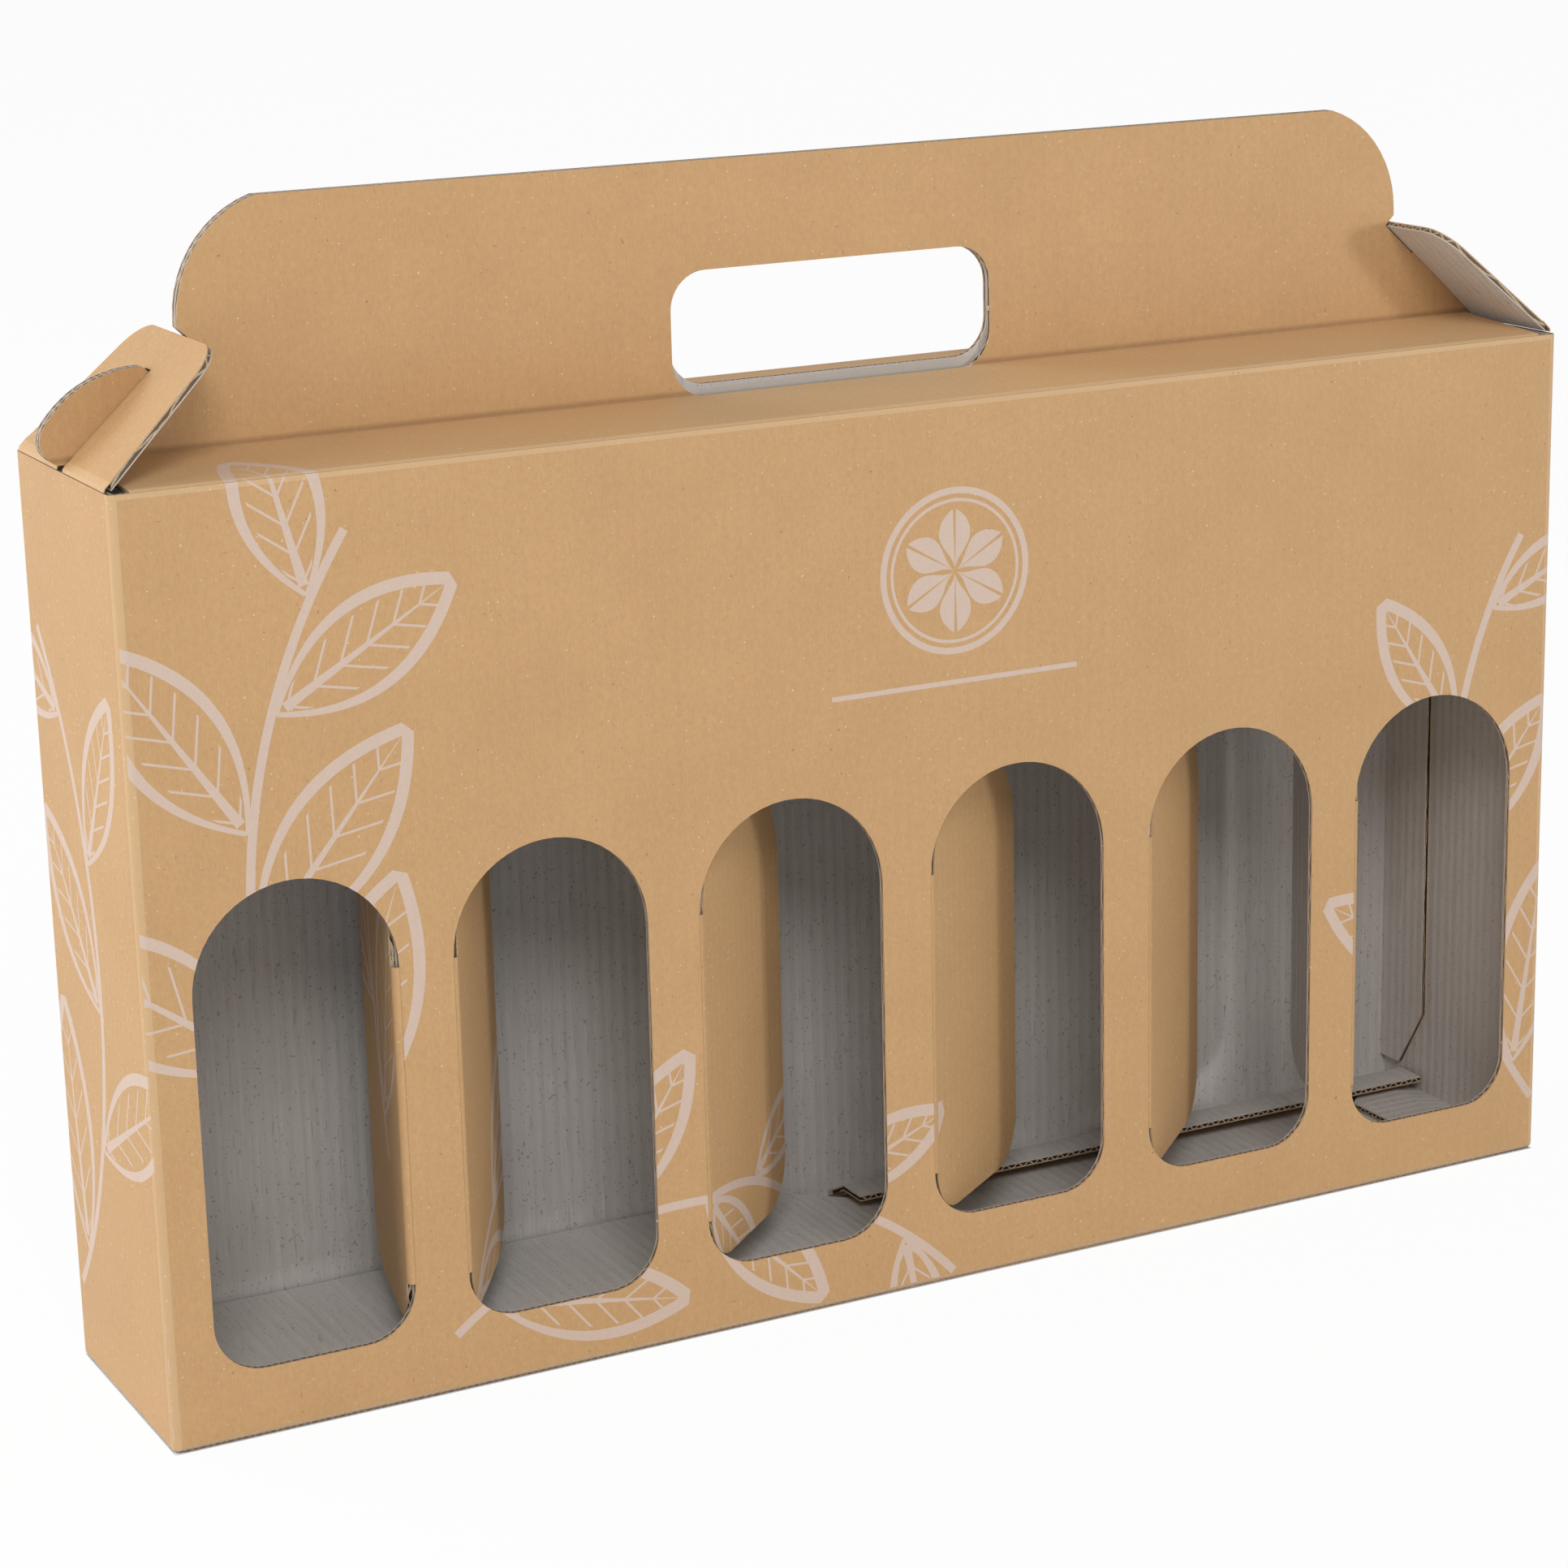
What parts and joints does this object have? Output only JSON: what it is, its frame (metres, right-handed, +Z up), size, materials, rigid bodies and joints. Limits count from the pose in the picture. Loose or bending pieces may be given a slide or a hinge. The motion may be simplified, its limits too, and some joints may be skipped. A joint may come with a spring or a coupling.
{
  "type": "bottle shipping box",
  "caption": "Upright corrugated board carrier for six bottles in a row, with arched windows, folding dividers, locking ears and a two-ply handle.",
  "frame": {"origin": "middle of the underside, on the ground", "axes": "+X along the length, +Y from the window side to the plain back, +Z up"},
  "size_m": [0.3838, 0.0654, 0.2715],
  "materials": {
    "board": "matte kraft outside, grey-white inside"
  },
  "bodies": {
    "carton": {"carton": "board"},
    "left_ear": {"left_ear": "board"},
    "right_ear": {"right_ear": "board"},
    "divider_1": {"divider_1": "board"},
    "divider_2": {"divider_2": "board"},
    "divider_3": {"divider_3": "board"},
    "divider_4": {"divider_4": "board"},
    "divider_5": {"divider_5": "board"},
    "divider_6": {"divider_6": "board"}
  },
  "joints": [
    {"name": "left_ear_fold", "type": "hinge", "parent": "carton", "child": "left_ear", "pos_m": [-0.186, 0, 0.216], "axis": [0, -1, 0], "range_deg": [0, 90]},
    {"name": "right_ear_fold", "type": "hinge", "parent": "carton", "child": "right_ear", "pos_m": [0.186, 0, 0.216], "axis": [0, 1, 0], "range_deg": [0, 90]},
    {"name": "divider_1_fold", "type": "hinge", "parent": "carton", "child": "divider_1", "pos_m": [-0.1285, -0.03125, 0.07175], "axis": [0, 0, -1], "range_deg": [-103, 0]},
    {"name": "divider_2_fold", "type": "hinge", "parent": "carton", "child": "divider_2", "pos_m": [-0.1155, -0.03125, 0.07175], "axis": [0, 0, 1], "range_deg": [-58, 32]},
    {"name": "divider_3_fold", "type": "hinge", "parent": "carton", "child": "divider_3", "pos_m": [-0.0545, -0.03125, 0.07175], "axis": [0, 0, 1], "range_deg": [-41.5, 48.5]},
    {"name": "divider_4_fold", "type": "hinge", "parent": "carton", "child": "divider_4", "pos_m": [0.0065, -0.03125, 0.07175], "axis": [0, 0, 1], "range_deg": [-36, 54]},
    {"name": "divider_5_fold", "type": "hinge", "parent": "carton", "child": "divider_5", "pos_m": [0.0675, -0.03125, 0.07175], "axis": [0, 0, 1], "range_deg": [-43, 47]},
    {"name": "divider_6_fold", "type": "hinge", "parent": "carton", "child": "divider_6", "pos_m": [0.1285, -0.03125, 0.07175], "axis": [0, 0, 1], "range_deg": [-73, 17]}
  ]
}
